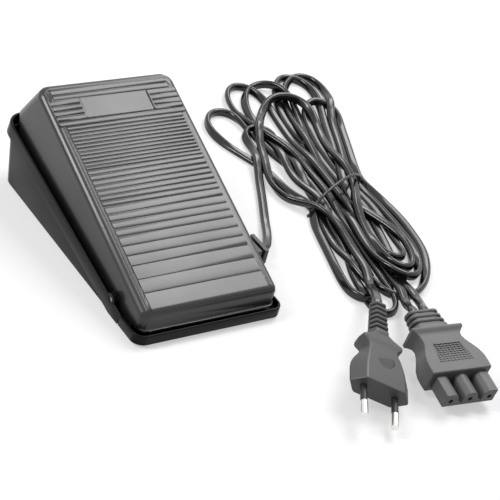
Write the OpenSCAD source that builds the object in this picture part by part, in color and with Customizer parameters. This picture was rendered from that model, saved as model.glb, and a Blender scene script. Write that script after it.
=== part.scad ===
// Electronic foot speed control: a moulded wedge-shaped base, a hinged ribbed
// treadle over it, the speed control inside, and its two flat leads in a tied hank.
// Millimetres. +Z is up, +Y points to the high toe end, and the origin lies on the
// floor below the middle of the base.

/* [Base tray] */
// Width over the rim
base_w = 90; // [86:1:98]
// Length over the rim
base_l = 161; // [156:1:170]
// Height of the level front part of the rim
rim_front_h = 7.2; // [6.8:0.1:8]
// Length of the level part of the rim, from the front
rim_level_l = 18.5; // [17:0.5:20]
// Rise of the rim behind that, in degrees
rim_slope = 12.1; // [11.8:0.1:12.6]
// Height of the thickened band along the level front part
rim_band_h = 5.6; // [4:0.2:6]
// Height of the band along the sloping part
rim_band_back_h = 8; // [6:0.2:9]
// How far the band stands out from the walls
rim_proud = 1.2; // [0.8:0.1:1.3]
// Thickness of the band, which is rounded along its crest
band_t = 1.6; // [1.5:0.1:1.8]
// Thickness of the ledge that joins the band to the walls
ledge_t = 1.4; // [1.2:0.1:1.6]
// Thickness of the tray walls
wall_t = 1.5; // [1.2:0.1:1.8]
// Thickness of the tray floor
floor_t = 2; // [1.6:0.1:2.4]
// Radius of the rim's front corners in plan
rim_front_corner_r = 6.5; // [6:0.5:8]
// Radius of the rim's back corners in plan
rim_back_corner_r = 9; // [8:0.5:9.5]
// Radius of the walls' corners below the rim
wall_corner_r = 9.5; // [8:0.5:10]
// Lean of the back wall, in degrees
back_lean = 12; // [10:0.5:12]

/* [Feet] */
// Diameter of each rubber foot
foot_d = 12; // [9:0.5:14]
// How far a foot stands below the tray
foot_proud = 1.2; // [0.8:0.1:2]
// Depth of the recess that holds a foot
foot_seat = 0.8; // [0.4:0.1:1]

/* [Hinge] */
// Distance from the front of the rim to the hinge axis
hinge_inset = 29.5; // [28:0.5:31]
// Height of the hinge axis above the floor
hinge_h = 9.3; // [9:0.1:9.8]
// Diameter of the hinge rod
rod_d = 3; // [2.4:0.1:3.4]
// Radius of the ear on each side wall
ear_r = 3.5; // [3.3:0.1:3.8]
// Radial running clearance of the treadle on the rod
rod_fit = 0.05; // [0.03:0.01:0.1]
// Travel of the treadle, in degrees
travel = 4; // [3:0.5:4]

/* [Treadle] */
// Gap between the treadle and each side wall
side_gap = 0.8; // [0.6:0.1:1]
// Gap between the face of the treadle and the front of the rim
front_gap = 3.5; // [3.3:0.1:4]
// How far the lip below the treadle's face stands forward
lip_l = 2.1; // [1.6:0.1:2.4]
// Thickness of the lip
lip_t = 1.1; // [0.9:0.1:1.3]
// How far the lip stands above the rim
lip_rise = 0.4; // [0.2:0.1:0.6]
// Wall thickness of the treadle
shell_t = 2; // [1.6:0.1:2.4]
// Height at which the plane of the top would meet the front face
nose_h = 17; // [16.5:0.1:18]
// Slope of the top, in degrees
top_slope = 20.3; // [19.8:0.1:20.8]
// Radius of the nose
nose_r = 4.7; // [4.2:0.1:5.2]
// Radius of the edges along both sides of the top
side_edge_r = 3.6; // [3:0.1:4]
// Radius of the edge between the top and the back
back_edge_r = 3.2; // [2.8:0.1:3.6]
// Length of the top, from the front face to the edge at the back
top_l = 143.7; // [142:0.1:145]
// Radius of the top's back corners in plan
top_corner_r = 7; // [6:0.5:8]
// Radius of the corners at the lower edge of the back
skirt_corner_r = 8; // [8:0.5:10]
// Distance from the hinge axis to the furthest part of the treadle's back
back_reach = 126.8; // [126:0.1:126.9]
// Height of that part above the rim
back_bulge_h = 4.4; // [3:0.2:6]
// Thickness of the raised deck on the top
deck_t = 0.3; // [0.2:0.1:0.5]
// Height of the tread bars above the deck
rib_h = 0.5; // [0.4:0.1:0.7]
// Width of the groove between neighbouring tread bars
groove_w = 0.7; // [0.5:0.1:0.9]
// Distance from the edge of the deck to the ends of the bars
rib_inset = 2.2; // [1.6:0.1:3]
// Distance from the front face to the first tread bar on the top
first_rib_at = 12; // [11:0.5:13]
// Width of the bare framed panel near the toe
panel_w = 43; // [36:1:50]

/* [Speed control] */
// Distance from the hinge axis to the plunger
plunger_reach = 60; // [56:1:64]
// Diameter of the plunger
plunger_d = 5; // [4:0.5:6]
// Gap between the plunger and the treadle's pad at rest
plunger_gap = 0.3; // [0.2:0.1:0.5]
// Distance from the hinge axis to the return spring
spring_reach = 96; // [94:1:100]
// Mean diameter of the return spring
spring_d = 13; // [11:0.5:15]
// Diameter of the spring wire
spring_wire_d = 1.4; // [1:0.1:1.6]
// Number of turns of the return spring
spring_turns = 7; // [5:1:8]
// Width of the circuit board
board_w = 58; // [54:1:62]
// Thickness of the circuit board
board_t = 1.6; // [1.2:0.2:2]
// Height of the posts under the circuit board
board_post_h = 4; // [3.6:0.2:5]

/* [Leads] */
// Width of the flat twin lead
lead_w = 5.4; // [5:0.2:6]
// Thickness of the flat twin lead
lead_t = 3.4; // [3:0.2:3.8]
// Length of the block on the lead, from the wall outwards
gland_l = 15; // [12:1:18]
// Width of that block along the wall
gland_w = 15.4; // [13:0.2:17]
// Height of that block
gland_h = 9; // [8:0.2:9.6]

/* [Mains plug] */
// Width of the plug's face
plug_w = 35.3; // [34:0.1:36]
// Thickness of the plug's body
plug_t = 13.7; // [13:0.1:14.5]
// Length of the plug's body
plug_l = 36; // [34:0.5:38]
// Diameter of the metal pins
pin_d = 4; // [3.9:0.05:4.1]
// Length of the pins outside the face
pin_l = 19; // [18.5:0.1:19.5]
// Diameter of the pins inside their sleeves
pin_core_d = 3.2; // [3:0.1:3.4]
// Distance between the pins at the face
pin_pitch = 18.6; // [18:0.1:19.2]

/* [Machine connector] */
// Width of the connector's body
conn_w = 38; // [36:0.5:42]
// Thickness of the connector's body
conn_t = 14; // [13:0.2:16]
// Length of the connector's body
conn_l = 44; // [42:0.5:48]
// Distance between neighbouring sockets
socket_pitch = 11.8; // [11.4:0.1:12.4]
// Diameter of each socket
socket_d = 3.4; // [3:0.1:3.8]
// Depth of each socket
socket_depth = 14; // [12:0.5:16]

/* [Hidden] */
$fn = 48;
HULL_FN = 28;
FIT = 0.02;
CLEAR = 0.3;
SEAM = 0.06;

front_y = -base_l / 2;
back_y = base_l / 2;
rim_kink_y = front_y + rim_level_l;
hinge_y = front_y + hinge_inset;
wall_w = base_w - 2 * rim_proud;
inner_w = wall_w - 2 * wall_t;
rim_t = rim_proud + wall_t;
wall_front_y = front_y + rim_proud;
floor_top = foot_proud + floor_t;
rim_back_h = rim_front_h + (back_y - rim_kink_y) * tan(rim_slope);
wall_back_top_y = back_y - rim_proud;
wall_back_foot_y = wall_back_top_y - (rim_back_h - rim_band_back_h - foot_proud) * tan(back_lean);
rim_run = (back_y - rim_kink_y - rim_band_back_h * sin(rim_slope)) / cos(rim_slope);

treadle_w = inner_w - 2 * side_gap;
face_y = front_y + band_t + front_gap;
lip_z = rim_front_h + lip_rise - lip_t;
top_rise = tan(top_slope);
back_bulge_y = hinge_y + back_reach;
skirt_front_z = foot_proud + floor_t + 1;
deck_w = treadle_w - 2 * side_edge_r - 0.5;
ribs_w = deck_w - 2 * rib_inset;

// Where the plane of the top lies at a given place along the pedal
function top_z(y) = nose_h + (y - face_y) * top_rise;
function rim_z(y) = rim_front_h + max(0, y - rim_kink_y) * tan(rim_slope);
// The same plane on the inside of the shell
function ceiling_z(y) = top_z(y) - shell_t / cos(top_slope);

back_bulge_z = rim_z(back_bulge_y) + back_bulge_h;
skirt_back_z = rim_z(back_bulge_y) - 0.4;
nose_y = face_y + nose_r;
nose_z = top_z(nose_y) - nose_r / cos(top_slope);
deck_back_s = top_l - back_edge_r - 1.2;

// Tread bars from the toe to the nose: the number in each group and their pitch
rib_groups = [[6, 3.4], [1, 2.8], [11, 2.32], [1, 2.95], [6, 3.3], [4, 4.65], [3, 5.9], [2, 8.2]];
rib_pitches = [for (g = rib_groups) for (i = [1 : g[0]]) g[1]];
rib_count = len(rib_pitches) + 1;
function sum_from(list, i) = i >= len(list) ? 0 : list[i] + sum_from(list, i + 1);
function rib_s(i) = first_rib_at + sum_from(rib_pitches, i);
// Bars that run out over the side edges, and bars that the panel interrupts
OPEN_RIBS = [2 : 6];
PANEL_RIBS = [2 : 4];

plunger_y = hinge_y + plunger_reach;
spring_y = hinge_y + spring_reach;
board_z = floor_top + board_post_h;
spring_cup_d = spring_d + spring_wire_d + 5;
board_gap = 1.5;
clamp_l = 21;
gland_y = hinge_y + 19;
board_front_y = gland_y + clamp_l / 2 + board_gap;
board_back_y = spring_y - spring_cup_d / 2 - board_gap;
board_l = board_back_y - board_front_y;
board_y = (board_front_y + board_back_y) / 2;
board_screw_x = board_w / 2 - 4;
board_screw_y = board_l / 2 - 4;
board_screw_d = 2.6;
board_screw_hole_d = 3.2;
post_d = 7;
board_top = board_z + board_t;
case_l = 22;
case_w = 16;
case_h = 11;
case_t = 1.8;
plunger_top_z = board_top + case_h + 10;
pad_t = 3;
pad_z = plunger_top_z + plunger_gap;
spring_seat_z = floor_top + 3;
spring_top_z = 43;

gland_z = foot_proud + 1.4 + gland_h / 2;
gland_face_x = base_w / 2 + gland_l;
gland_neck_w = 9;
gland_neck_h = 4.4;
gland_neck_z = gland_z - 0.4 - gland_neck_h / 2;
gland_neck_x = base_w / 2 - rim_t - 7;

plug_at = [49.6, -157.1, 12];
plug_turn = [10, 18, -32.7];
plug_relief_l = 23;
conn_at = [98.4, -173, 8.2];
conn_turn = [8, 0, -8];
conn_relief_l = 16;
sleeve_l = 10;

// Routes of the free leads on the floor, from the pedal, the plug and the connector
pedal_route = [[66, -30, 5.4], [72, -22, 3.6], [80, -9, 2.8], [92, 10, 2.8], [103, 28, 2.8], [113, 45, 3]];
plug_route = [[98, -86, 10], [106, -74, 6]];
connector_routes = [[[109, -106, 11], [114, -97, 7], [120, -86, 6]],
                    [[117, -106, 11], [124, -96, 7], [131, -84, 6]]];
HANK_H = 11;
tie_at = [136, 4, 0];
tie_turn = 24;
tie_in_w = 43;
tie_t = 1.2;
hank_waist = [[134, -8, 17], [138, 17, 17]];
hank_lower = [[110, -78, 14], [140, -66, 19]];
hank_upper = [[122, 82, 18], [150, 114, 18], [190, 114, 18]];

// ---------- helpers ----------

// Extrudes an outline drawn in (y, z) across the width of the pedal
module across(w) {
    rotate([90, 0, 90]) translate([0, 0, -w / 2]) linear_extrude(height = w) children();
}

// A rounded rectangle from y = 0, with its own radius at either end
module rounded_plan(w, l, front_r, back_r) {
    wide_r = max(front_r, back_r);
    translate([-w / 2 + wide_r, 0]) square([w - 2 * wide_r, l]);
    translate([-w / 2, front_r]) square([w, l - front_r - back_r]);
    for (side = [-1, 1]) {
        translate([side * (w / 2 - front_r), front_r]) circle(front_r);
        translate([side * (w / 2 - back_r), l - back_r]) circle(back_r);
        if (front_r < wide_r) translate([side * (w / 2 - (front_r + wide_r) / 2), l / 4])
            square([wide_r - front_r, l / 2], center = true);
    }
}

// ---------- base tray ----------

// Everything below the rim, drawn in (y, z): how far below its level and its sloping part
module below_rim(front_drop, back_drop) {
    polygon([[front_y - 1, -1], [back_y + 9, -1],
             [back_y + 9, rim_z(back_y + 9) - back_drop],
             [rim_kink_y, rim_front_h - back_drop], [front_y - 1, rim_front_h - front_drop]]);
    translate([front_y - 1, -1]) square([base_l + 2, floor_top + 1]);
}

// The wedge-shaped block that the walls enclose, shrunk by a wall thickness
module tray_block(shrink, bottom) {
    w = wall_w - 2 * shrink;
    r = wall_corner_r - shrink;
    intersection() {
        translate([0, wall_front_y + shrink, bottom])
            linear_extrude(height = 60)
                rounded_plan(w, wall_back_top_y - wall_front_y - 2 * shrink, r, r);
        translate([0, wall_back_foot_y - shrink / cos(back_lean), foot_proud])
            rotate([-back_lean, 0, 0]) translate([0, -2 * base_l, -base_l])
                linear_extrude(height = 2 * base_l) rounded_plan(w, 2 * base_l, r, r);
    }
}

// Cross-section of the rim band: flat sides and a round crest
module band_section(inner_r, h) {
    translate([inner_r, -h]) square([band_t, h - band_t / 2]);
    translate([inner_r + band_t / 2, -band_t / 2]) circle(d = band_t, $fn = 24);
}

// One end of the rim band: two straight sides, two corners and the end between them
module band_end(side_l, h, r) {
    turn_x = base_w / 2 - r;
    for (side = [-1, 1]) translate([side * turn_x, r, 0]) {
        rotate([0, 0, side > 0 ? -90 : 180]) rotate_extrude(angle = 90) band_section(r - band_t, h);
        rotate([-90, 0, 0]) mirror([side > 0 ? 0 : 1, 0, 0])
            mirror([0, 1, 0]) linear_extrude(height = side_l - r) band_section(r - band_t, h);
    }
    translate([-turn_x, r, 0]) rotate([90, 0, 90]) mirror([1, 0, 0])
        linear_extrude(height = 2 * turn_x) band_section(r - band_t, h);
}

// The ledge below one end of the band
module ledge(side_l, h, r) {
    inset = band_t / 2;
    translate([0, inset, SEAM - h]) linear_extrude(height = ledge_t)
        rounded_plan(base_w - 2 * inset, side_l - inset, r - inset, SEAM);
}

// The front is drawn from the front backwards, the back from the toe end forwards
module at_rim_front() {
    translate([0, front_y, rim_front_h]) children();
}

module at_rim_back() {
    translate([0, rim_kink_y, rim_front_h]) rotate([rim_slope, 0, 0])
        translate([0, rim_run, 0]) mirror([0, 1, 0]) children();
}

module hinge_ears() {
    ear_t = rim_t + SEAM;
    for (side = [-1, 1])
        translate([side * ((base_w - ear_t) / 2 - SEAM), 0, 0]) across(ear_t) {
            translate([hinge_y, hinge_h]) circle(ear_r);
            translate([hinge_y - ear_r, floor_top - SEAM]) square([2 * ear_r, hinge_h - floor_top]);
        }
}

slot_pitch = 6.5;

module foot_places() {
    for (side = [-1, 1], y = [front_y + 15, wall_back_foot_y - 13])
        translate([side * (base_w / 2 - 14), y, 0]) children();
}

module board_screw_places() {
    for (side = [-1, 1], end = [-1, 1])
        translate([side * board_screw_x, board_y + end * board_screw_y, 0]) children();
}

clamp_x = base_w / 2 - 17;
clamp_screw_pitch = 14;
clamp_screw_d = 2.6;
clamp_h = 3;
clamp_post_h = gland_z - lead_t / 2 - floor_top;

module clamp_screw_places() {
    for (end = [-1, 1]) translate([clamp_x, gland_y + end * clamp_screw_pitch / 2, 0]) children();
}

module base_tray() color("#262628") {
    difference() {
        union() {
            difference() {
                union() {
                    intersection() {
                        tray_block(0, foot_proud);
                        across(2 * base_w) below_rim(rim_band_h - ledge_t / 2, rim_band_back_h - ledge_t / 2);
                    }
                    at_rim_front() ledge(rim_level_l, rim_band_h, rim_front_corner_r);
                    at_rim_back() ledge(rim_run, rim_band_back_h, rim_back_corner_r);
                }
                tray_block(wall_t, floor_top);
                below_floor();
            }
            difference() {
                union() {
                    at_rim_front() band_end(rim_level_l, rim_band_h, rim_front_corner_r);
                    at_rim_back() band_end(rim_run, rim_band_back_h, rim_back_corner_r);
                }
                translate([0, 0, SEAM]) below_floor();
            }
            hinge_ears();
        }
        foot_places() translate([0, 0, foot_proud - 1]) cylinder(d = foot_d, h = foot_seat + 1);
        translate([0, hinge_y, hinge_h]) rotate([0, 90, 0])
            cylinder(d = rod_d + 2 * FIT, h = 2 * base_w, center = true);
        // window for the neck of the lead's block
        translate([base_w / 2 - 6, gland_y - gland_neck_w / 2 - FIT, gland_neck_z - FIT])
            cube([12, gland_neck_w + 2 * FIT, gland_neck_h + 2 * FIT]);
        // cooling slots
        for (i = [-3, -2, 2, 3])
            translate([i * slot_pitch - 1, wall_back_foot_y - 34, foot_proud - 1]) cube([2, 24, floor_t + 2]);
    }
    // posts and seats on the floor
    board_screw_places() translate([0, 0, floor_top]) difference() {
        cylinder(d = post_d, h = board_post_h);
        translate([0, 0, -1]) cylinder(d = board_screw_d + 2 * FIT, h = board_post_h + 2);
    }
    clamp_screw_places() translate([0, 0, floor_top]) difference() {
        cylinder(d = 6.4, h = clamp_post_h);
        translate([0, 0, -1]) cylinder(d = clamp_screw_d + 2 * FIT, h = clamp_post_h + 2);
    }
    translate([0, spring_y, floor_top]) difference() {
        cylinder(d = spring_cup_d, h = 6);
        translate([0, 0, spring_seat_z - floor_top]) cylinder(d = spring_cup_d - 3, h = 6);
    }
    translate([0, spring_y, floor_top]) cylinder(d = spring_d - spring_wire_d - 2, h = 6);
}

// All that lies below the tray's floor
module below_floor() {
    translate([-base_w, -base_l, foot_proud - base_l]) cube([2 * base_w, 2 * base_l, base_l]);
}

module rubber_feet() color("#1b1b1c") {
    foot_places() difference() {
        cylinder(d = foot_d - 2 * FIT, h = foot_proud + foot_seat);
        translate([0, 0, -1]) cylinder(d = foot_d / 3, h = 1.6);
    }
}

module hinge_rod() color("#a9abad") {
    rod_l = base_w - 1.2;
    translate([-rod_l / 2, hinge_y, hinge_h]) rotate([0, 90, 0]) cylinder(d = rod_d, h = rod_l);
}

// ---------- treadle ----------

// A roller across the pedal with rounded ends, for the hulls below
module roll(r, edge, w, y, z) {
    translate([0, y, z]) rotate([0, 90, 0]) rotate_extrude($fn = HULL_FN) intersection() {
        translate([0, -w / 2]) square([r, w]);
        union() {
            translate([0, -w / 2]) square([r - edge, w]);
            translate([0, -w / 2 + edge]) square([r, w - 2 * edge]);
            for (s = [-1, 1]) translate([r - edge, s * (w / 2 - edge)]) circle(edge, $fn = HULL_FN);
        }
    }
}

// A disc with a rounded rim, its flat top at z = 0
module puck(r, edge) {
    rotate_extrude($fn = HULL_FN) {
        translate([0, -2 * edge]) square([r - edge, 2 * edge]);
        intersection() {
            translate([r - edge, -edge]) circle(edge, $fn = HULL_FN);
            translate([0, -2 * edge]) square([r, 2 * edge]);
        }
    }
}

module treadle_hull(inset) {
    w = treadle_w - 2 * inset;
    front_r = 5 - min(inset, 3);
    edge = side_edge_r - min(inset, side_edge_r - 1);
    back_edge = back_edge_r - min(inset, back_edge_r - 1);
    corner = top_corner_r - inset;
    foot_r = skirt_corner_r - inset;
    hull() {
        roll(nose_r - inset, edge, w, nose_y, nose_z);
        for (side = [-1, 1]) {
            on_top_place(side * (w / 2 - corner), top_l - top_corner_r, -inset) puck(corner, back_edge);
            translate([side * (w / 2 - front_r), face_y + inset + front_r, -inset])
                cylinder(r = front_r, h = 1, $fn = HULL_FN);
            // the back wall turns down at the rim and slopes in below it
            for (p = [[0, back_bulge_z], [2.4, back_bulge_z - 23]])
                translate([side * (w / 2 - foot_r), back_bulge_y - p[0] - skirt_corner_r, p[1] - inset])
                    cylinder(r = foot_r, h = 1, $fn = HULL_FN);
        }
    }
}

// What the skirt leaves open below, drawn in (y, z)
module below_skirt() {
    side_back_y = back_bulge_y - skirt_corner_r;
    polygon([[front_y - 9, -9], [back_y + 30, -9], [back_y + 30, skirt_back_z],
             [side_back_y, skirt_back_z],
             [side_back_y, skirt_front_z + (side_back_y - hinge_y) * 0.195],
             [hinge_y, skirt_front_z], [front_y - 9, skirt_front_z]]);
}

// Outline of tread bars first..last, drawn in (s, t) along and above the top
module rib_bars(first, last) {
    for (i = [first : last]) {
        s = rib_s(i);
        back = i == 0 ? deck_back_s : rib_s(i - 1) - groove_w;
        polygon([[s, -1], [back, -1], [back, deck_t + rib_h * 0.8], [(s + back) / 2, deck_t + rib_h],
                 [s, deck_t + rib_h * 0.9]]);
    }
}

// Carries a piece to a place on the top: x, distance from the front face, height above the plane
module on_top_place(x, s, t) {
    translate([0, face_y, nose_h]) rotate([top_slope, 0, 0]) translate([x, s, t]) children();
}

// Places an outline drawn in (s, t) on the plane of the top
module on_top(w) {
    on_top_place(0, 0, 0) across(w) children();
}

// A layer over the rounded nose, from the top plane round to the given angle, drawn in (y, z)
module nose_layer(t, from_angle, to_angle) {
    reach = 2 * nose_r;
    translate([nose_y, nose_z]) intersection() {
        circle(nose_r + t);
        polygon([[0, 0], [reach * cos(from_angle), reach * sin(from_angle)],
                 [reach * cos((from_angle + to_angle) / 2), reach * sin((from_angle + to_angle) / 2)],
                 [reach * cos(to_angle), reach * sin(to_angle)]]);
    }
}

nose_rib_angle = 140;
module tread() {
    nose_s = (nose_y - nose_r * sin(top_slope) - face_y) / cos(top_slope);
    last_s = rib_s(rib_count - 1);
    panel_s = rib_s(PANEL_RIBS[2]);
    panel_l = rib_s(PANEL_RIBS[0]) - panel_s;
    // the deck, which runs over the nose and down the front face
    on_top(deck_w) polygon([[nose_s, -1], [deck_back_s, -1], [deck_back_s, deck_t], [nose_s, deck_t]]);
    across(deck_w) {
        nose_layer(deck_t, 90 + top_slope, 181);
        translate([face_y - deck_t, lip_z + SEAM]) square([deck_t + 1, nose_z - lip_z]);
    }
    // the bars, with a bare panel left between them
    difference() {
        union() {
            on_top(ribs_w) rib_bars(0, OPEN_RIBS[0] - 1);
            on_top(ribs_w) rib_bars(OPEN_RIBS[2] + 1, rib_count - 1);
            on_top(deck_w + 1.6) rib_bars(OPEN_RIBS[0], OPEN_RIBS[2]);
        }
        on_top_place(-panel_w / 2, panel_s - 3.2, deck_t) cube([panel_w, panel_l + 6.4, 5]);
    }
    for (side = [-1, 1])
        on_top_place(side * (panel_w / 2 - 0.5) - 0.5, panel_s - 2.6, 0) cube([1, panel_l + 5.2, deck_t + rib_h]);
    // the last bar, which ends on the nose
    on_top(ribs_w) polygon([[nose_s, -1], [last_s - groove_w, -1], [last_s - groove_w, deck_t + rib_h],
                            [nose_s, deck_t + rib_h]]);
    across(ribs_w) nose_layer(deck_t + rib_h, 90 + top_slope, nose_rib_angle);
}

// The lip in front of the treadle's face, just above the rim
module front_lip() {
    w = treadle_w - 0.4;
    l = 16;
    translate([0, face_y - lip_l, lip_z]) linear_extrude(height = lip_t) difference() {
        rounded_plan(w, l, 6, 6);
        translate([0, lip_l + shell_t / 2]) rounded_plan(w - shell_t, l, 4, 4);
    }
}

notch_w = gland_neck_w + 5.2;
notch_top_z = gland_neck_z + gland_neck_h + CLEAR + 0.1 + (gland_y - hinge_y + notch_w / 2) * travel * PI / 180;
front_skirt_l = 7;
module treadle_cover() color("#2c2c2e") {
    difference() {
        treadle_hull(0);
        treadle_hull(shell_t);
        across(2 * base_w) below_skirt();
        translate([-base_w, face_y - 9, -1]) cube([2 * base_w, 9 + front_skirt_l, lip_z + 1]);
        // notch over the neck of the lead's block, tall enough for the travel
        translate([treadle_w / 2 - 6, gland_y - notch_w / 2, -1]) cube([12, notch_w, notch_top_z + 1]);
        translate([0, hinge_y, hinge_h]) rotate([0, 90, 0])
            cylinder(r = rod_d / 2 + rod_fit, h = 2 * base_w, center = true);
    }
    tread();
    front_lip();
    hinge_bosses();
    plunger_pad();
    spring_boss();
}

// Bosses on the rod, inside both side walls
module hinge_bosses() {
    boss_l = 5;
    boss_r = 3.6;
    for (side = [-1, 1])
        translate([side * (treadle_w / 2 - shell_t / 2 - boss_l / 2), 0, 0]) across(boss_l) difference() {
            translate([hinge_y, hinge_h]) circle(boss_r);
            translate([hinge_y, hinge_h]) circle(rod_d / 2 + rod_fit);
        }
}

// The post that presses on the plunger, with a level pad at its lower end
module plunger_pad() {
    across(10) polygon([[plunger_y - 5, pad_z], [plunger_y + 5, pad_z], [plunger_y + 5, pad_z + pad_t],
                        [plunger_y + 2, pad_z + pad_t], [plunger_y + 2, ceiling_z(plunger_y + 2) + 0.5],
                        [plunger_y - 2, ceiling_z(plunger_y - 2) + 0.5], [plunger_y - 2, pad_z + pad_t],
                        [plunger_y - 5, pad_z + pad_t]]);
    across(1.8) polygon([[plunger_y - 12, ceiling_z(plunger_y - 12) + 0.5], [plunger_y - 2, pad_z + pad_t],
                         [plunger_y + 2, pad_z + pad_t], [plunger_y + 22, ceiling_z(plunger_y + 22) + 0.5]]);
}

// The disc that the upper end of the spring bears on, held by crossed fins
module spring_boss() {
    fin = 8;
    translate([0, spring_y, spring_top_z]) cylinder(d = spring_cup_d, h = 2.5);
    translate([0, spring_y, spring_top_z - 3]) cylinder(d = spring_d - spring_wire_d - 2, h = 3.5);
    across(2) polygon([[spring_y - fin, spring_top_z + 2], [spring_y + fin, spring_top_z + 2],
                       [spring_y + fin, ceiling_z(spring_y + fin) + 0.5],
                       [spring_y - fin, ceiling_z(spring_y - fin) + 0.5]]);
    translate([-fin, spring_y - 1, spring_top_z + 2]) cube([2 * fin, 2, ceiling_z(spring_y) - spring_top_z - 1.4]);
}

// ---------- speed control ----------

module circuit_board() color("#8a5a2b") {
    difference() {
        translate([-board_w / 2, board_y - board_l / 2, board_z]) cube([board_w, board_l, board_t]);
        board_screw_places() translate([0, 0, board_z - 1]) cylinder(d = board_screw_hole_d, h = board_t + 2);
    }
}

module pan_screw(d, head_d, head_h, shank_l) {
    translate([0, 0, -shank_l]) cylinder(d = d, h = shank_l);
    difference() {
        cylinder(d = head_d, h = head_h);
        translate([-head_d, -0.4, head_h - 0.8]) cube([2 * head_d, 0.8, 2]);
        translate([-0.4, -head_d, head_h - 0.8]) cube([0.8, 2 * head_d, 2]);
    }
}

// Rubber pads that the front of the treadle rests on
module rest_pads() color("#1b1b1c") {
    pad = [5, 6, skirt_front_z - floor_top - CLEAR];
    for (side = [-1, 1])
        translate([side * (treadle_w / 2 - shell_t / 2 - pad[0] / 2) - pad[0] / 2, face_y + front_skirt_l + 1, floor_top])
            cube(pad);
}

module board_screws() color("#b9babc") {
    board_screw_places() translate([0, 0, board_top])
        pan_screw(board_screw_d, 2 * board_screw_d, 1.8, board_t + board_post_h - 0.4);
}

module control_case() color("#1f2a3a") {
    difference() {
        translate([-case_w / 2, plunger_y - case_l / 2, board_top]) cube([case_w, case_l, case_h]);
        translate([0, plunger_y, board_top + case_t]) cylinder(d = plunger_d + 3, h = case_h - 2 * case_t);
        translate([0, plunger_y, board_top + case_t]) cylinder(r = plunger_d / 2 + rod_fit, h = case_h);
    }
}

// The plunger: a collar that keeps it in the case, a stem and a domed tip
module control_plunger() color("#e6e2d4") {
    collar_t = 1;
    collar_z = board_top + case_h - case_t - collar_t - 0.1;
    tip_z = plunger_top_z - 1;
    translate([0, plunger_y, collar_z]) cylinder(d = plunger_d + 2, h = collar_t);
    translate([0, plunger_y, collar_z]) cylinder(d = plunger_d, h = tip_z - collar_z);
    intersection() {
        translate([0, plunger_y, tip_z]) cylinder(d = plunger_d, h = 1);
        translate([0, plunger_y, plunger_top_z - 6]) sphere(r = 6);
    }
}

spring_steps = 14;
spring_sides = 6;
spring_rings = spring_turns * spring_steps;
function spring_z(i) = spring_wire_d / 2 + (spring_top_z - spring_seat_z - spring_wire_d) * i / spring_rings;

module return_spring() color("#9b9ea2") translate([0, spring_y, spring_seat_z]) {
    points = [for (i = [0 : spring_rings], k = [0 : spring_sides - 1])
        let (a = 360 * i / spring_steps, b = 360 * k / spring_sides,
             r = spring_d / 2 + spring_wire_d / 2 * cos(b))
        [r * cos(a), r * sin(a), spring_z(i) + spring_wire_d / 2 * sin(b)]];
    polyhedron(points, tube_faces(spring_rings + 1, spring_sides), convexity = 10);
}

function tube_faces(rings, sides) = concat(
    [[for (k = [0 : sides - 1]) k]],
    [for (i = [0 : rings - 2], k = [0 : sides - 1])
        let (a = i * sides + k, b = i * sides + (k + 1) % sides)
        [a, a + sides, b + sides, b]],
    [[for (k = [sides - 1 : -1 : 0]) (rings - 1) * sides + k]]);

triac_at = [-19, plunger_y + 4];
module triac() color("#2a2a2c") {
    translate([triac_at[0] + 0.2, triac_at[1] - 5, board_top + 3.5]) cube([4.4, 10, 9]);
    for (y = [-2.5, 0, 2.5]) translate([triac_at[0] + 2, triac_at[1] + y - 0.4, board_top]) cube([0.6, 0.8, 3.5]);
}

module heat_sink() color("#b4b7ba") {
    translate([triac_at[0] - 1.8, triac_at[1] - 10, board_top]) cube([2, 20, 16]);
    for (y = [-10, -6, -2, 2, 6, 9]) translate([triac_at[0] - 5.8, triac_at[1] + y, board_top + 1]) cube([4.2, 1, 15]);
}

choke_at = [18, board_front_y + 39];
module choke_core() color("#4a4d50") {
    translate([choke_at[0], choke_at[1], board_top]) {
        cylinder(d = 13, h = 1.6);
        cylinder(d = 5, h = 13);
        translate([0, 0, 11.4]) cylinder(d = 13, h = 1.6);
    }
}

module choke_winding() color("#b5682d") {
    translate([choke_at[0], choke_at[1], board_top + 1.6 + FIT]) difference() {
        cylinder(d = 11.5, h = 9.8 - 2 * FIT);
        translate([0, 0, -1]) cylinder(d = 5 + 2 * FIT, h = 12);
    }
}

module suppressor_capacitor() color("#c9a227") {
    translate([11, board_front_y + 13, board_top + 0.4]) cube([8, 16, 12]);
    for (y = [16, 26]) translate([15, board_front_y + y, board_top]) cylinder(d = 0.8, h = 0.8);
}

module resistors() color("#c2a27a") {
    for (y = [3, 8, 13])
        translate([-18, board_front_y + y, board_top + 1.6]) {
            rotate([0, 90, 0]) cylinder(d = 2.6, h = 8);
            translate([-1.8, 0, 0]) rotate([0, 90, 0]) cylinder(d = 0.7, h = 11.6);
            for (x = [-1.8, 9.1]) translate([x, -0.35, -1.6]) cube([0.7, 0.7, 1.95]);
        }
}

module trimmer() color("#2f5f9e") {
    translate([-3, board_front_y + 3, board_top]) {
        cube([8, 8, 5]);
        translate([4, 4, 5]) difference() {
            cylinder(d = 5, h = 1);
            translate([-3, -0.4, 0.4]) cube([6, 0.8, 1]);
        }
    }
}

terminal_at = [clamp_x - 20, board_front_y + 1];
TERMINALS = [3, 9];
module terminal_block() color("#3b7d4c") {
    difference() {
        translate([terminal_at[0], terminal_at[1], board_top]) cube([12, 10, 9]);
        for (x = TERMINALS) translate([terminal_at[0] + x, terminal_at[1] + 5, board_top + 5]) cylinder(d = 3.6, h = 9);
        for (x = TERMINALS) translate([terminal_at[0] + x, terminal_at[1] + 6, board_top + 3])
            rotate([90, 0, 0]) cylinder(d = 2.6, h = 9);
    }
}

module terminal_screws() color("#b9babc") {
    for (x = TERMINALS) translate([terminal_at[0] + x, terminal_at[1] + 5, board_top + 5]) difference() {
        cylinder(d = 3.6 - 2 * FIT, h = 3);
        translate([-3, -0.35, 2.2]) cube([6, 0.7, 2]);
    }
}

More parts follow.
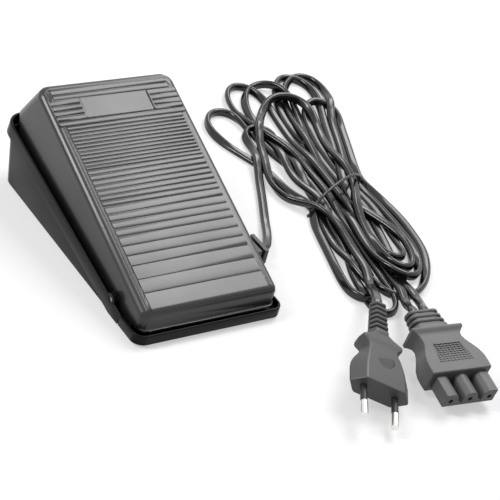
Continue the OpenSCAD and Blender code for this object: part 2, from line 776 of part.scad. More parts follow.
// ---------- leads ----------

// Cross-section of the flat twin lead, as (sideways, upwards) offsets
lead_section = [[-lead_w / 2, -lead_t * 0.22], [-lead_w * 0.3, -lead_t / 2], [lead_w * 0.3, -lead_t / 2],
                [lead_w / 2, -lead_t * 0.22], [lead_w / 2, lead_t * 0.22], [lead_w * 0.3, lead_t / 2],
                [-lead_w * 0.3, lead_t / 2], [-lead_w / 2, lead_t * 0.22]];
function unit(v) = v / norm(v);
function along(p, i) = unit(p[min(i + 1, len(p) - 1)] - p[max(i - 1, 0)]);

module lead(path, section) {
    points = [for (i = [0 : len(path) - 1])
        let (d = along(path, i), side = unit(cross(d, [0, 0, 1])), up = cross(side, d))
        for (c = section) path[i] + side * c[0] + up * c[1]];
    polyhedron(points, tube_faces(len(path), len(section)), convexity = 6);
}

// Two cores from the end of the sheath: along -X, up, and then along +Y into the terminals
wire_d = 1.8;
module lead_wires() color("#6b4a2e") {
    sheath_x = clamp_x - 5;
    hole_z = board_top + 3;
    bend = (hole_z - gland_z) / 2;
    for (i = [0, 1])
        translate([terminal_at[0] + TERMINALS[i], gland_y + (i - 0.5) * (lead_w - lead_t), gland_z]) {
            translate([bend, 0, 0]) rotate([0, 90, 0])
                cylinder(d = wire_d, h = sheath_x - terminal_at[0] - TERMINALS[i] - bend);
            translate([bend, 0, bend]) rotate([90, 0, 0]) rotate([0, 0, 180])
                rotate_extrude(angle = 90) translate([bend, 0]) circle(d = wire_d);
            translate([0, bend, bend]) rotate([0, -90, 0]) rotate([0, 0, -90])
                rotate_extrude(angle = 90) translate([bend, 0]) circle(d = wire_d);
            translate([0, bend, 2 * bend]) rotate([-90, 0, 0])
                cylinder(d = wire_d, h = terminal_at[1] + 4 - gland_y - (i - 0.5) * (lead_w - lead_t) - bend);
        }
}

module inner_lead() color("#19191b") {
    x0 = clamp_x - 5;
    translate([x0, gland_y, gland_z]) rotate([90, 0, 90]) linear_extrude(height = gland_neck_x - x0) {
        square([lead_w - lead_t, lead_t], center = true);
        for (s = [-1, 1]) translate([s * (lead_w - lead_t) / 2, 0]) circle(d = lead_t);
    }
}

module cord_gland() color("#2b2b2d") {
    wall_x = base_w / 2;
    translate([gland_neck_x, gland_y - gland_neck_w / 2, gland_neck_z])
        cube([gland_face_x - gland_neck_x - 1, gland_neck_w, gland_neck_h]);
    // inner head, and ribs outside that give the block its slots
    translate([wall_x - rim_t - CLEAR - 3, gland_y - gland_neck_w / 2 - 2, gland_neck_z - 1])
        cube([3, gland_neck_w + 4, gland_neck_h + 1]);
    for (i = [0 : 3])
        let (pitch = (gland_l - 2.4) / 3, w = gland_w * (0.86 + 0.14 * i / 3), h = gland_h * (0.86 + 0.14 * i / 3))
        translate([wall_x + 0.1 + i * pitch, gland_y - w / 2, gland_z - h / 2])
            cube([i == 3 ? gland_l - 3 * pitch - 0.1 : pitch - 1.9, w, h]);
}

module cord_clamp() color("#3a3a3c") {
    difference() {
        translate([clamp_x - 4, gland_y - clamp_l / 2, floor_top + clamp_post_h])
            cube([8, clamp_l, clamp_h + lead_t / 2]);
        clamp_screw_places() translate([0, 0, floor_top]) cylinder(d = 3.2, h = 20);
        translate([clamp_x - 5, gland_y - lead_w / 2 - 0.2, floor_top]) cube([10, lead_w + 0.4, clamp_post_h + lead_t]);
    }
}

module clamp_screws() color("#b9babc") {
    clamp_screw_places() translate([0, 0, floor_top + clamp_post_h + clamp_h + lead_t / 2])
        pan_screw(clamp_screw_d, 5.6, 2, clamp_h + lead_t / 2 + clamp_post_h - 1);
}

module pedal_cord_run() color("#19191b") {
    lead(concat([[gland_face_x, gland_y, gland_z], [gland_face_x + 1, gland_y, gland_z]], pedal_route),
         lead_section);
}

module plug_cord_run() color("#19191b") {
    lead(concat([plug_tail(0), plug_tail(1)], plug_route), lead_section);
}

module connector_cord_runs() color("#19191b") {
    for (i = [0, 1])
        lead(concat([connector_tail((i - 0.5) * (lead_w + 1), 0), connector_tail((i - 0.5) * (lead_w + 1), 1)],
                    connector_routes[i]), lead_section);
}

// One lobe of the hank: a rounded outline around the discs, each [x, y, radius]
module hank_lobe(discs) {
    linear_extrude(height = HANK_H) hull() for (c = discs) translate([c[0], c[1]]) circle(c[2], $fn = HULL_FN);
}

module cord_hank() color("#19191b") {
    difference() {
        union() {
            hank_lobe(concat(hank_lower, [hank_waist[0]]));
            hank_lobe(hank_waist);
            hank_lobe(concat([hank_waist[1]], hank_upper));
        }
        // room for the tie below the bundle
        at_tie() translate([-30, -3, -1]) cube([60, 6, 1 + tie_t]);
    }
}

module at_tie() {
    translate(tie_at) rotate([0, 0, tie_turn]) children();
}

module cord_tie() color("#38383a") {
    half_w = tie_in_w / 2;
    at_tie() rotate([90, 0, 0]) translate([0, 0, -1.5]) linear_extrude(height = 3) difference() {
        translate([-half_w - tie_t, 0]) square([2 * (half_w + tie_t), HANK_H + tie_t]);
        translate([-half_w, tie_t]) square([2 * half_w, HANK_H - tie_t]);
    }
}

// ---------- mains plug ----------

// Carries a piece from the plug's own frame: face at the origin, pins towards -Y
module at_plug() {
    translate(plug_at) rotate([0, 0, plug_turn[2]]) rotate([plug_turn[0], 0, 0]) rotate([0, plug_turn[1], 0])
        children();
}

function turned(p, turn) =
    let (a = [p[0] * cos(turn[1]) + p[2] * sin(turn[1]), p[1], -p[0] * sin(turn[1]) + p[2] * cos(turn[1])],
         b = [a[0], a[1] * cos(turn[0]) - a[2] * sin(turn[0]), a[1] * sin(turn[0]) + a[2] * cos(turn[0])])
    [b[0] * cos(turn[2]) - b[1] * sin(turn[2]), b[0] * sin(turn[2]) + b[1] * cos(turn[2]), b[2]];
function plug_tail(extra) = plug_at + turned([0, plug_l + plug_relief_l + extra, 0], plug_turn);

module half_outline(points) {
    polygon(concat(points, [for (i = [len(points) - 1 : -1 : 0]) [-points[i][0], points[i][1]]]));
}

module plug_body() color("#242426") at_plug() {
    difference() {
        plug_block();
        pin_places() translate([0, 0, -pin_root]) cylinder(d = pin_core_d + 2 * FIT, h = pin_root + 1);
    }
    relief(plug_l, plug_relief_l, 12, 10, 6.6, 5);
}

module plug_block() {
    w = plug_w / 2;
    intersection() {
        translate([0, 0, -plug_t / 2]) linear_extrude(height = plug_t)
            half_outline([[w - 0.6, 0], [w, 2], [w - 0.6, 8], [w - 4, 15], [w - 6.2, 21],
                          [w - 5.6, 25], [w - 3, 29], [w - 4, 32.5], [w - 9, plug_l - 1], [w - 10, plug_l]]);
        across(2 * plug_w) polygon([[0, -plug_t / 2 + 0.8], [0.8, -plug_t / 2], [14, -plug_t / 2],
                                    [plug_l, -5.4], [plug_l, 5.4], [14, plug_t / 2],
                                    [0.8, plug_t / 2], [0, plug_t / 2 - 0.8]]);
    }
}

// A tapered sleeve with cross ribs, from y0 along +Y
module relief(y0, l, w0, w1, h0, h1) {
    ribs = 6;
    core = 0.72;
    translate([-w1 * core / 2 , y0 - 0.5, -h1 * core / 2]) cube([w1 * core, l + 0.5, h1 * core]);
    for (i = [0 : ribs - 1])
        let (f = i / (ribs - 1), w = w0 + (w1 - w0) * f, h = h0 + (h1 - h0) * f)
        translate([-w / 2, y0 + i * l / ribs + (i == 0 ? -0.5 : l / ribs * 0.4), -h / 2])
            cube([w, l / ribs * 0.6 + (i == 0 ? 0.5 : 0), h]);
}

pin_lean = 1;
pin_root = 8;
module pin_places() {
    for (side = [-1, 1]) translate([side * pin_pitch / 2, 0, 0]) rotate([90, 0, side * -pin_lean]) children();
}

module plug_pins() color("#c9cacb") at_plug() pin_places() {
    dome_h = 1.2;
    translate([0, 0, -pin_root]) cylinder(d = pin_core_d, h = pin_root + sleeve_l + 1);
    translate([0, 0, sleeve_l]) cylinder(d = pin_d, h = pin_l - sleeve_l - dome_h);
    translate([0, 0, pin_l - dome_h]) intersection() {
        cylinder(d = pin_d, h = dome_h);
        translate([0, 0, -1.3]) sphere(r = dome_h + 1.3);
    }
}

module pin_sleeves() color("#161617") at_plug() pin_places() {
    difference() {
        translate([0, 0, FIT]) cylinder(d = pin_d - 0.4, h = sleeve_l - 2 * FIT);
        translate([0, 0, -1]) cylinder(d = pin_core_d + 2 * FIT, h = sleeve_l + 2);
    }
}

// ---------- machine connector ----------

module at_connector() {
    translate(conn_at) rotate([0, 0, conn_turn[2]]) rotate([conn_turn[0], 0, 0]) rotate([0, conn_turn[1], 0])
        children();
}

function connector_tail(x, extra) = conn_at + turned([x, conn_l + conn_relief_l + extra, 0], conn_turn);

module connector_body() color("#29292b") at_connector() {
    w = conn_w / 2;
    prong_l = 13;
    prong_w = 9.6;
    gap = socket_pitch - prong_w;
    difference() {
        intersection() {
            translate([0, 0, -conn_t / 2]) linear_extrude(height = conn_t)
                half_outline([[w - 0.6, 0], [w, 1], [w, 15], [w - 1.4, 18], [w - 6, 23], [w - 8.5, 28],
                              [w - 8.5, 31], [w - 6, 34.5], [w - 5.6, 37], [w - 6.6, 39], [w - 8, conn_l]]);
            across(2 * conn_w) polygon([[0, -conn_t / 2 + 0.6], [0.6, -conn_t / 2], [16, -conn_t / 2],
                                        [22, -6], [conn_l, -4.6], [conn_l, 4.6], [22, 6], [16, conn_t / 2],
                                        [0.6, conn_t / 2], [0, conn_t / 2 - 0.6]]);
        }
        for (side = [-1, 1]) translate([side * socket_pitch / 2, 0, 0]) {
            translate([-gap / 2, -1, -conn_t]) cube([gap, prong_l - gap / 2 + 1, 2 * conn_t]);
            translate([0, prong_l - gap / 2, -conn_t]) cylinder(d = gap, h = 2 * conn_t);
        }
        for (i = [-1 : 1]) translate([i * socket_pitch, socket_depth, 0]) rotate([90, 0, 0])
            cylinder(d = socket_d, h = socket_depth + 1);
    }
    relief(conn_l, conn_relief_l, 20, 17, 7, 5.6);
}

module connector_contacts() color("#b08d3c") at_connector() {
    for (i = [-1 : 1]) translate([i * socket_pitch, socket_depth, 0]) rotate([90, 0, 0]) difference() {
        cylinder(d = socket_d, h = socket_depth - 3);
        translate([0, 0, 1]) cylinder(d = socket_d - 0.8, h = socket_depth);
    }
}

base_tray();
rubber_feet();
treadle_cover();
hinge_rod();
circuit_board();
board_screws();
control_case();
control_plunger();
return_spring();
triac();
heat_sink();
choke_core();
choke_winding();
suppressor_capacitor();
resistors();
trimmer();
terminal_block();
terminal_screws();
lead_wires();
inner_lead();
rest_pads();
cord_gland();
cord_clamp();
clamp_screws();
plug_body();
plug_pins();
pin_sleeves();
connector_body();
connector_contacts();
cord_tie();
pedal_cord_run();
plug_cord_run();
connector_cord_runs();
cord_hank();
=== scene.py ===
import math

import bmesh
import bpy
import numpy as np
from mathutils import Matrix, Vector


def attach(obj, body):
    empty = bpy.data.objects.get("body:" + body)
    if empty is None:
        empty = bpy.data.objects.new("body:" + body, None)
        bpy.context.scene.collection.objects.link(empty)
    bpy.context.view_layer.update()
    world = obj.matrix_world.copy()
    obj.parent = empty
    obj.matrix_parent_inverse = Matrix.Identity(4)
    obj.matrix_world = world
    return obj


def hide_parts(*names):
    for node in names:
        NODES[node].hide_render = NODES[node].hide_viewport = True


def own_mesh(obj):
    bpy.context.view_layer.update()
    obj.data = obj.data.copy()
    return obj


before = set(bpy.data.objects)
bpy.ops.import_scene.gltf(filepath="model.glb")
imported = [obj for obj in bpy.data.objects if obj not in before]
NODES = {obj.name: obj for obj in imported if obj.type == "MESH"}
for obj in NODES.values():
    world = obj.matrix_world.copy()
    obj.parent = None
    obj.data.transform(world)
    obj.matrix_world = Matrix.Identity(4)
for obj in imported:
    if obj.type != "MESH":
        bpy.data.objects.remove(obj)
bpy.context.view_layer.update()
MM = 0.001


def mm(*values):
    """A place given in millimetres."""
    return Vector(values) * MM


# ---------------------------------------------------------------- camera

CAMERA_AT = (-0.4517, -0.5932, 0.5200)
CAMERA_TURN = (54.752, -13.284, -32.775)
SENSOR, LENS = 36.0, 121.28


def make_camera():
    data = bpy.data.cameras.new("camera")
    data.sensor_width, data.lens = SENSOR, LENS
    data.clip_start, data.clip_end = 0.05, 20.0
    camera = bpy.data.objects.new("camera", data)
    camera.location = CAMERA_AT
    camera.rotation_euler = [math.radians(a) for a in CAMERA_TURN]
    bpy.context.scene.collection.objects.link(camera)
    bpy.context.scene.camera = camera


make_camera()


# ---------------------------------------------------------------- cords

# A flat twin lead, in millimetres: its width, its thickness and the step between its points
LEAD_W, LEAD_T = 5.4, 3.4
STEP = 2.6

# Where the wire tie crosses the hank, and which way it runs
TIE_MID = (140.0, 5.0)
TIE_ALONG = (0.926, 0.377)

# How the leads settle
HELD = 4                      # points at each end that stay in the relief or the gland
FREED_OVER = 9                # points over which a lead comes free of its held end
SAME_RUN = 15                 # places on one lead nearer than this along it don't push each other
REACH = 6.5                   # runs further apart than this can't touch
ROUNDS, LAST_ROUNDS = 130, 20
FALL, LAST_FALL = 0.14, 0.03  # how far the leads drop in each round
CROWDING = 0.6                # how much a point that many runs push is held back
FLOOR_GAP = 0.1
FAR_X, FAR_Y = 207.5, 131.5   # the leads lie inside these limits

# The turn, per millimetre of lead, where it starts to stand up and how much more stands it on edge
FLAT_TURN, TURN_TO_EDGE = 0.014, 0.022
# The slow lean of the flat lead from side to side
LEAN_RUN, LEAN = 71.0, 0.16


def through_tie(t, z):
    """A point where the lead passes the tie: t along the tie from its middle."""
    return (TIE_MID[0] + t * TIE_ALONG[0], TIE_MID[1] + t * TIE_ALONG[1], z)


def at_height(z, *points):
    return [(x, y, z) for x, y in points]


# From the pedal's gland round the hank and back to the machine connector
PEDAL_LEAD = [
    (58, -32, 7.1), (62, -31.6, 7.0), (66, -30, 6), (72, -23, 4.2), (80, -10, 2.9), (91, 9, 2.9),
    *at_height(2.9, (102, 28), (111, 44), (117, 58), (118, 66), (119, 76), (125, 82), (132, 79),
               (134, 68), (134, 48), (131, 26)),
    through_tie(-14, 2.2),
    *at_height(3, (119, -22), (114, -40), (111, -56), (110, -70), (109, -81), (103, -85),
               (97, -81), (95, -72), (99, -56), (104, -41), (110, -25), (116, -10)),
    through_tie(-20, 2.2),
    *at_height(2.4, (114, 12), (112, 28), (111, 44), (107, 58), (103, 70), (101, 82), (104, 93),
               (112, 101), (122, 102), (129, 95), (131, 83), (131, 66), (132, 48), (133, 30),
               (133, 14)),
    through_tie(-8, 2.2),
    *at_height(2.4, (126, -24), (120, -45), (116, -62), (115, -76), (121, -84), (131, -84),
               (142, -77), (152, -66), (160, -52), (164, -38), (166, -22), (164, -4)),
    through_tie(22, 2.2),
    *at_height(4, (166, 28), (174, 44), (183, 60), (191, 76), (196, 88), (194, 97), (186, 99),
               (177, 93), (168, 82), (161, 66), (157, 48), (155, 28)),
    through_tie(16, 2.4),
    *at_height(3, (155, -8), (155, -24), (153, -40), (147, -54), (140, -60), (133, -56),
               (133, -44), (138, -28), (145, -10)),
    through_tie(11, 6.5),
    (158, 26, 6), (166, 42, 5.5), (175, 58, 5), (183, 74, 4.5),
    *at_height(4, (190, 88), (195, 102), (197, 115), (193, 125), (185, 128), (177, 122),
               (170, 110)),
    (165, 94, 3.5), (160, 76, 3), (156, 56, 2.7), (152, 34, 2.7),
    through_tie(10, 2.4),
    (148, -6, 2.4), (144, -26, 3), (139, -48, 3), (134, -68, 3), (128, -84, 4), (124, -95, 6.5),
    (118, -104, 11), (112.4, -111, 15.4), (110.5, -114.5, 16.6), (110.0, -118, 16.3),
]

# From the machine connector round the hank to the mains plug
MAINS_LEAD = [
    (103.4, -117.2, 16.2), (104, -113.6, 16.6), (106.4, -109, 14.6), (111, -102, 9.5),
    (117, -92, 6), (122, -81, 4), (127, -66, 3), (132, -46, 4), (137, -26, 5.5), (141, -8, 7),
    through_tie(4, 7.5),
    (147, 22, 8), (149, 38, 8.5), (150, 54, 8.5), (151, 72, 8.5), (153, 90, 8), (155, 106, 7),
    (154, 118, 6), (148, 126, 5), (139, 124, 5), (132, 116, 5), (128, 104, 5), (128, 90, 5.5),
    (131, 74, 6.5), (135, 56, 7.5), (136, 38, 8), (136, 20, 7.5),
    through_tie(-5, 7),
    *at_height(3, (131, -20), (127, -42), (124, -60), (121, -76), (117, -88), (109, -97),
               (101, -96), (100, -87), (104, -76), (110, -60), (115, -42), (121, -22)),
    through_tie(-13, 6.5),
    *at_height(6.5, (128, 18), (129, 38), (131, 58), (133, 76), (135, 92)),
    *at_height(7, (140, 106), (148, 118), (158, 124), (167, 121), (171, 110), (170, 97)),
    (165, 80, 6), (158, 60, 5), (150, 38, 4), (143, 20, 3),
    through_tie(-1, 2.4),
    (136, -6, 3), (131, -22, 5),
    *at_height(6, (127, -42), (126, -58), (128, -70), (134, -76), (142, -73), (150, -63),
               (157, -50), (160, -36), (161, -22), (161, -6)),
    through_tie(20, 5.5),
    (162, 28, 6), (169, 44, 6), (178, 61, 6.5),
    *at_height(7, (188, 79), (197, 94), (203, 108), (204, 119), (199, 127), (190, 127), (180, 119),
               (171, 106), (165, 90)),
    (160, 72, 6), (155, 50, 5), (149, 28, 4),
    through_tie(4.5, 3),
    (147, -8, 6), (150, -24, 8), (152, -40, 8), (151, -54, 8), (145, -64, 8.5), (137, -69, 9),
    (130, -65, 9.5), (128, -54, 10), (130, -40, 10), (136, -24, 10), (144, -8, 9.5),
    through_tie(16, 8),
    (159, 28, 9), (164, 44, 9.5), (170, 60, 10), (174, 76, 10), (176, 91, 10), (173, 103, 10.5),
    (164, 107, 11), (153, 102, 11), (142, 91, 11), (131, 77, 11), (122, 62, 10.5), (114, 46, 9.5),
    (109, 31, 8.5), (108, 17, 7.5), (112, 5, 7),
    through_tie(-21, 6.5),
    (122, -22, 7), (117, -43, 7), (112, -58, 7.5), (107, -71, 8), (101, -81, 10.5), (94, -91, 15),
    (86.5, -101, 20), (82, -107, 22), (79.9, -110.3, 21.3),
]


def spaced(points, step):
    """Points of even spacing on a smooth curve through the given ones."""
    p = np.array(points, float)
    p = np.vstack([2 * p[0] - p[1], p, 2 * p[-1] - p[-2]])
    t = np.linspace(0, 1, 16, endpoint=False)[:, None]
    fine = [0.5 * (2 * b + (c - a) * t + (2 * a - 5 * b + 4 * c - d) * t ** 2
                   + (3 * b - a - 3 * c + d) * t ** 3)
            for a, b, c, d in zip(p, p[1:], p[2:], p[3:])]
    line = evened(np.vstack(fine + [p[-2:-1]]), step)
    soft = averaged(line, 4)
    soft[:HELD + 1], soft[-HELD - 1:] = line[:HELD + 1], line[-HELD - 1:]
    return evened(averaged(soft, 1), step)


def evened(line, step):
    """The same line with its points one step apart."""
    run = np.concatenate([[0], np.cumsum(np.linalg.norm(np.diff(line, axis=0), axis=1))])
    places = np.linspace(0, run[-1], int(round(run[-1] / step)) + 1)
    return np.stack([np.interp(places, run, line[:, k]) for k in range(3)], axis=1)


def averaged(values, reach):
    """A running mean along the lead, with the ends repeated."""
    kernel = np.hanning(2 * reach + 3)[1:-1]
    padded = np.pad(values, ((reach, reach), (0, 0)), mode="edge")
    return np.stack([np.convolve(padded[:, k], kernel / kernel.sum(), "valid")
                     for k in range(values.shape[1])], axis=1)


def roll_of(line):
    """How far the flat lead stands on its edge: 0 flat, 1 on edge, by how tightly it turns."""
    way = np.gradient(line[:, :2], axis=0)
    angle = np.unwrap(np.arctan2(way[:, 1], way[:, 0]))
    turn = np.abs(np.gradient(averaged(angle[:, None], 3)[:, 0])) / STEP
    edge = np.clip((turn - FLAT_TURN) / TURN_TO_EDGE, 0, 1)
    edge[:6], edge[-6:] = 0, 0
    return averaged(edge[:, None], 7)[:, 0]


def runs_that_may_touch(counts):
    """The pairs of points that aren't near neighbours along the same lead."""
    owner = np.concatenate([np.full(n, k) for k, n in enumerate(counts)])
    place = np.concatenate([np.arange(n) for n in counts])
    near = (owner[:, None] == owner) & (np.abs(place[:, None] - place) * STEP < SAME_RUN)
    first, second = np.triu_indices(len(owner), 1)
    keep = ~near[first, second]
    return first[keep], second[keep]


def pushed_apart(p, first, second, wide, tall):
    """How far each point moves, so that runs that cut into each other come apart."""
    close = (np.abs(p[first] - p[second]) < REACH).all(axis=1)
    i, j = first[close], second[close]
    apart = p[i] - p[j]
    room = np.stack([wide[i] + wide[j], wide[i] + wide[j], tall[i] + tall[j]], axis=1)
    ratio = np.linalg.norm(apart / room, axis=1)
    hit = ratio < 1
    i, j, apart, room, ratio = i[hit], j[hit], apart[hit], room[hit], ratio[hit]
    way = apart / room ** 2
    way[:, 2] += np.where(way[:, 2] >= 0, 1e-3, -1e-3)
    way /= np.linalg.norm(way, axis=1)[:, None]
    push = way * ((1 - ratio) * room.min(axis=1))[:, None] * 0.5
    move, count = np.zeros_like(p), np.zeros(len(p))
    for who, sign in ((i, 1), (j, -1)):
        np.add.at(move, who, sign * push)
        np.add.at(count, who, 1)
    return move / np.maximum(1, count)[:, None] ** CROWDING


def settle(lines):
    """Lets the leads down on the floor and on each other, and keeps their runs apart."""
    counts = [len(line) for line in lines]
    bounds = np.cumsum([0] + counts)
    spans = list(zip(bounds, bounds[1:]))
    p = np.vstack(lines)
    first_lie = p.copy()
    roll = np.concatenate([roll_of(line) for line in lines])
    wide = (LEAD_W * (1 - roll) + LEAD_T * roll) / 2
    tall = (LEAD_T * (1 - roll) + LEAD_W * roll) / 2
    from_end = np.concatenate([np.minimum(np.arange(n), np.arange(n)[::-1]) for n in counts])
    held = from_end < HELD
    loose = np.clip((from_end - HELD) / FREED_OVER, 0, 1)[:, None]
    first, second = runs_that_may_touch(counts)
    for n in range(ROUNDS):
        move = pushed_apart(p, first, second, wide, tall)
        move[:, 2] -= FALL if n < ROUNDS - LAST_ROUNDS else LAST_FALL
        for a, b in spans:
            move[a:b] = averaged(move[a:b], 3)
        move[held] = 0
        p = p + move
        for a, b in spans:
            p[a:b] = first_lie[a:b] + averaged(p[a:b] - first_lie[a:b], 2) * loose[a:b]
        p[:, 2] = np.where(held, p[:, 2], np.maximum(p[:, 2], tall + FLOOR_GAP))
        p[:, 0] = np.minimum(p[:, 0], FAR_X - wide)
        p[:, 1] = np.minimum(p[:, 1], FAR_Y - wide)
    return [p[a:b] for a, b in spans], [roll[a:b] for a, b in spans]


def tube_mesh(name, curve):
    """The curve's own round or flat tube as one closed mesh."""
    source = bpy.data.objects.new(name + "_line", curve)
    bpy.context.scene.collection.objects.link(source)
    graph = bpy.context.evaluated_depsgraph_get()
    data = bpy.data.meshes.new_from_object(source.evaluated_get(graph))
    bpy.data.objects.remove(source)
    bpy.data.curves.remove(curve)
    bm = bmesh.new()
    bm.from_mesh(data)
    bmesh.ops.remove_doubles(bm, verts=bm.verts, dist=0.000005)
    bmesh.ops.recalc_face_normals(bm, faces=bm.faces)
    for face in bm.faces:
        face.smooth = True
    bm.to_mesh(data)
    bm.free()
    data.name = name
    data.set_sharp_from_angle(angle=math.radians(50))
    data.materials.clear()
    tube = bpy.data.objects.new(name, data)
    bpy.context.scene.collection.objects.link(tube)
    return tube


def flat_lead(name, line, roll):
    """A flat lead with round edges along the line, turned on its edge where it bends."""
    data = bpy.data.curves.new(name, "CURVE")
    data.dimensions = "3D"
    data.twist_mode = "Z_UP"
    data.extrude = (LEAD_W - LEAD_T) / 2 * MM
    data.bevel_depth = LEAD_T / 2 * MM
    data.bevel_resolution = 4
    data.use_fill_caps = True
    spline = data.splines.new("POLY")
    spline.points.add(len(line) - 1)
    leans = np.sin(np.arange(len(line)) * STEP / LEAN_RUN) * LEAN
    for point, place, edge, lean in zip(spline.points, line * MM, roll, leans):
        point.co = (*place, 1.0)
        point.tilt = math.radians(90) * (1 - edge) + lean * (1 - edge)
    return tube_mesh(name, data)


def make_leads():
    """Both leads, laid and settled together, and their centre lines."""
    lines, rolls = settle([spaced(PEDAL_LEAD, STEP), spaced(MAINS_LEAD, STEP)])
    names = ("pedal_lead", "mains_lead")
    return [flat_lead(name, line, roll) for name, line, roll in zip(names, lines, rolls)], lines


(pedal_lead, mains_lead), lead_lines = make_leads()
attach(pedal_lead, "base")
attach(mains_lead, "base")
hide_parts("pedal_cord_run", "cord_hank")
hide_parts("plug_cord_run", "connector_cord_runs")


# ---------------------------------------------------------------- shader groups

def new_group(name, inputs, outputs):
    """An empty group with its named sockets, and its input and output nodes."""
    tree = bpy.data.node_groups.new(name, "ShaderNodeTree")
    for label, kind, value in inputs:
        socket = tree.interface.new_socket(label, in_out="INPUT", socket_type="NodeSocket" + kind)
        socket.default_value = value
    for label, kind in outputs:
        tree.interface.new_socket(label, in_out="OUTPUT", socket_type="NodeSocket" + kind)
    return tree, tree.nodes.new("NodeGroupInput"), tree.nodes.new("NodeGroupOutput")


def add(tree, kind, **values):
    """A new node in the tree, with its settings."""
    node = tree.nodes.new("ShaderNode" + kind)
    for key, value in values.items():
        setattr(node, key, value)
    return node


def make_moulded_grain():
    """Fine moulded skin: a height for the bump, and a mask of slightly duller patches."""
    tree, gin, gout = new_group(
        "moulded_grain",
        [("Scale", "Float", 900.0), ("Patch Scale", "Float", 30.0)],
        [("Height", "Float"), ("Patches", "Float")])
    place = add(tree, "TexCoord")
    fine = add(tree, "TexNoise")
    fine.inputs["Detail"].default_value = 3.0
    fine.inputs["Roughness"].default_value = 0.6
    broad = add(tree, "TexNoise")
    broad.inputs["Detail"].default_value = 4.0
    spread = add(tree, "MapRange")
    spread.inputs["From Min"].default_value = 0.35
    spread.inputs["From Max"].default_value = 0.7
    link = tree.links.new
    link(place.outputs["Object"], fine.inputs["Vector"])
    link(place.outputs["Object"], broad.inputs["Vector"])
    link(gin.outputs["Scale"], fine.inputs["Scale"])
    link(gin.outputs["Patch Scale"], broad.inputs["Scale"])
    link(fine.outputs["Fac"], gout.inputs["Height"])
    link(broad.outputs["Fac"], spread.inputs["Value"])
    link(spread.outputs["Result"], gout.inputs["Patches"])
    return tree


def make_handling_scuffs():
    """A mask of faint marks from handling: short strokes, broken up in patches."""
    tree, gin, gout = new_group(
        "handling_scuffs",
        [("Stroke Scale", "Float", 260.0), ("Amount", "Float", 0.5)],
        [("Mask", "Float")])
    place = add(tree, "TexCoord")
    lay = add(tree, "Mapping")
    lay.inputs["Rotation"].default_value = (0.0, 0.0, 0.6)
    lay.inputs["Scale"].default_value = (1.0, 0.12, 1.0)
    strokes = add(tree, "TexNoise")
    strokes.inputs["Detail"].default_value = 5.0
    thin = add(tree, "MapRange")
    thin.inputs["From Min"].default_value = 0.56
    thin.inputs["From Max"].default_value = 0.72
    broad = add(tree, "TexNoise")
    broad.inputs["Scale"].default_value = 22.0
    cut = add(tree, "MapRange")
    cut.inputs["From Min"].default_value = 0.45
    cut.inputs["From Max"].default_value = 0.65
    both = add(tree, "Math", operation="MULTIPLY")
    scaled = add(tree, "Math", operation="MULTIPLY")
    link = tree.links.new
    link(place.outputs["Object"], lay.inputs["Vector"])
    link(lay.outputs["Vector"], strokes.inputs["Vector"])
    link(place.outputs["Object"], broad.inputs["Vector"])
    link(gin.outputs["Stroke Scale"], strokes.inputs["Scale"])
    link(strokes.outputs["Fac"], thin.inputs["Value"])
    link(broad.outputs["Fac"], cut.inputs["Value"])
    link(thin.outputs["Result"], both.inputs[0])
    link(cut.outputs["Result"], both.inputs[1])
    link(both.outputs["Value"], scaled.inputs[0])
    link(gin.outputs["Amount"], scaled.inputs[1])
    link(scaled.outputs["Value"], gout.inputs["Mask"])
    return tree


MOULDED_GRAIN = make_moulded_grain()
HANDLING_SCUFFS = make_handling_scuffs()


COAT_ROUGHNESS = 0.1
GRAIN_DEPTH = 0.00002


def worn_tone(color):
    """The paler tone that handling leaves."""
    return [min(1.0, c * 1.5 + 0.01) for c in color]


def finish(name, color, roughness, rough_spread=0.08, metallic=0.0, specular=0.5, coat=0.0,
           grain=900.0, patch=30.0, bump=0.15, wear=0.0):
    """A material with a fine moulded or drawn skin, duller patches and handling marks."""
    material = bpy.data.materials.new(name)
    material.use_nodes = True
    tree = material.node_tree
    shader = tree.nodes["Principled BSDF"]
    shader.inputs["Metallic"].default_value = metallic
    shader.inputs["Specular IOR Level"].default_value = specular
    shader.inputs["IOR"].default_value = 1.5
    shader.inputs["Coat Weight"].default_value = coat
    shader.inputs["Coat Roughness"].default_value = COAT_ROUGHNESS
    skin = add(tree, "Group", node_tree=MOULDED_GRAIN)
    skin.inputs["Scale"].default_value = grain
    skin.inputs["Patch Scale"].default_value = patch
    scuffs = add(tree, "Group", node_tree=HANDLING_SCUFFS)
    scuffs.inputs["Amount"].default_value = wear
    tone = add(tree, "Mix", data_type="RGBA")
    tone.inputs["A"].default_value = (*color, 1.0)
    tone.inputs["B"].default_value = (*worn_tone(color), 1.0)
    spread = add(tree, "MapRange")
    spread.inputs["To Min"].default_value = roughness
    spread.inputs["To Max"].default_value = min(1.0, roughness + rough_spread)
    relief = add(tree, "Bump")
    relief.inputs["Strength"].default_value = bump
    relief.inputs["Distance"].default_value = GRAIN_DEPTH
    link = tree.links.new
    link(scuffs.outputs["Mask"], tone.inputs["Factor"])
    link(tone.outputs["Result"], shader.inputs["Base Color"])
    link(skin.outputs["Patches"], spread.inputs["Value"])
    link(spread.outputs["Result"], shader.inputs["Roughness"])
    link(skin.outputs["Height"], relief.inputs["Height"])
    link(relief.outputs["Normal"], shader.inputs["Normal"])
    return material


